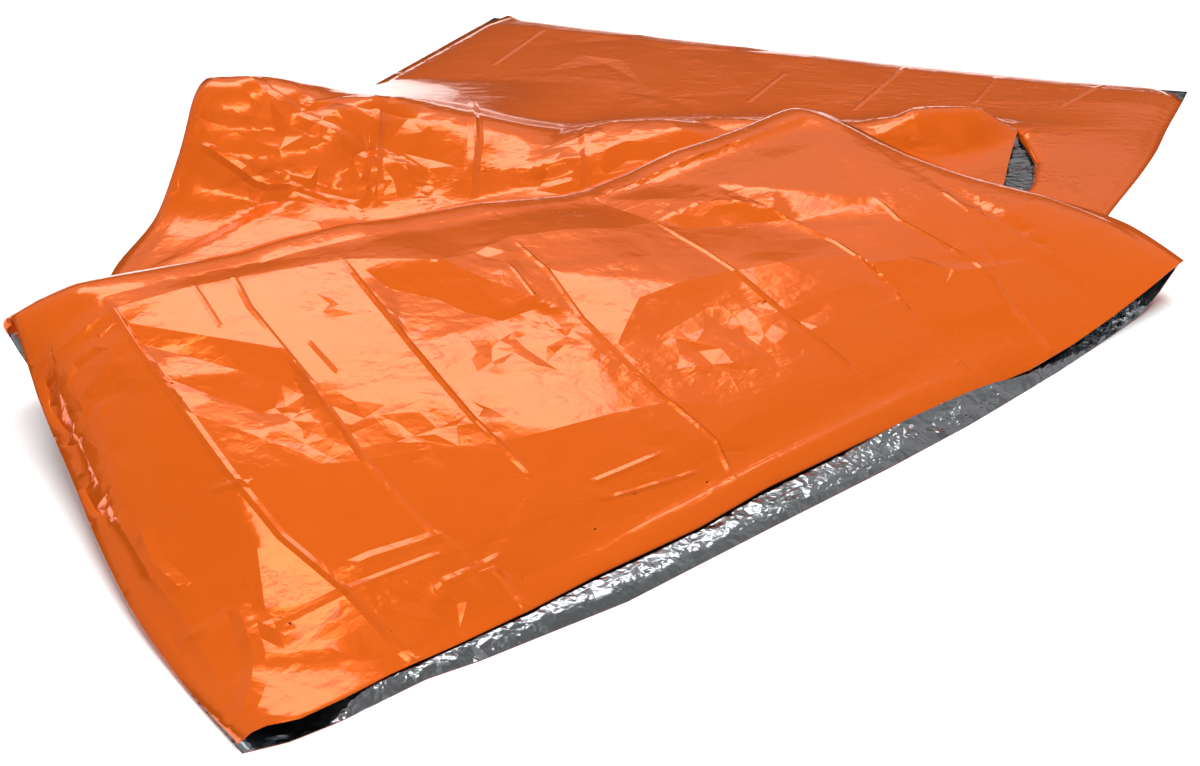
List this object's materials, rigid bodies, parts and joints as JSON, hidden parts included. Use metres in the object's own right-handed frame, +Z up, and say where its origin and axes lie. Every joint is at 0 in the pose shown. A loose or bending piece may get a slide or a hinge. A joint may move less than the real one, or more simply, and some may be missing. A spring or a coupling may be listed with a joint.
{
  "type": "folded bivvy bag",
  "caption": "Orange film bivvy bag with a silver-foil inside, lying loosely folded back over itself with its mouth open at the front.",
  "frame": {"origin": "on the floor, under the middle of the bag's footprint as it lies folded", "axes": "+X along the mouth edge to the right seen from in front of the mouth, -Y out of the mouth, +Z up"},
  "size_m": [1.4472, 1.1422, 0.1014],
  "materials": {
    "orange_film": "thin glossy orange polyethylene film, creased and crinkled",
    "silver_foil": "vacuum-aluminised inner face of the film, creased and crinkled, the outer face orange"
  },
  "bodies": {
    "root": {"upper_panel": "orange_film", "lower_panel": "silver_foil"}
  },
  "joints": []
}
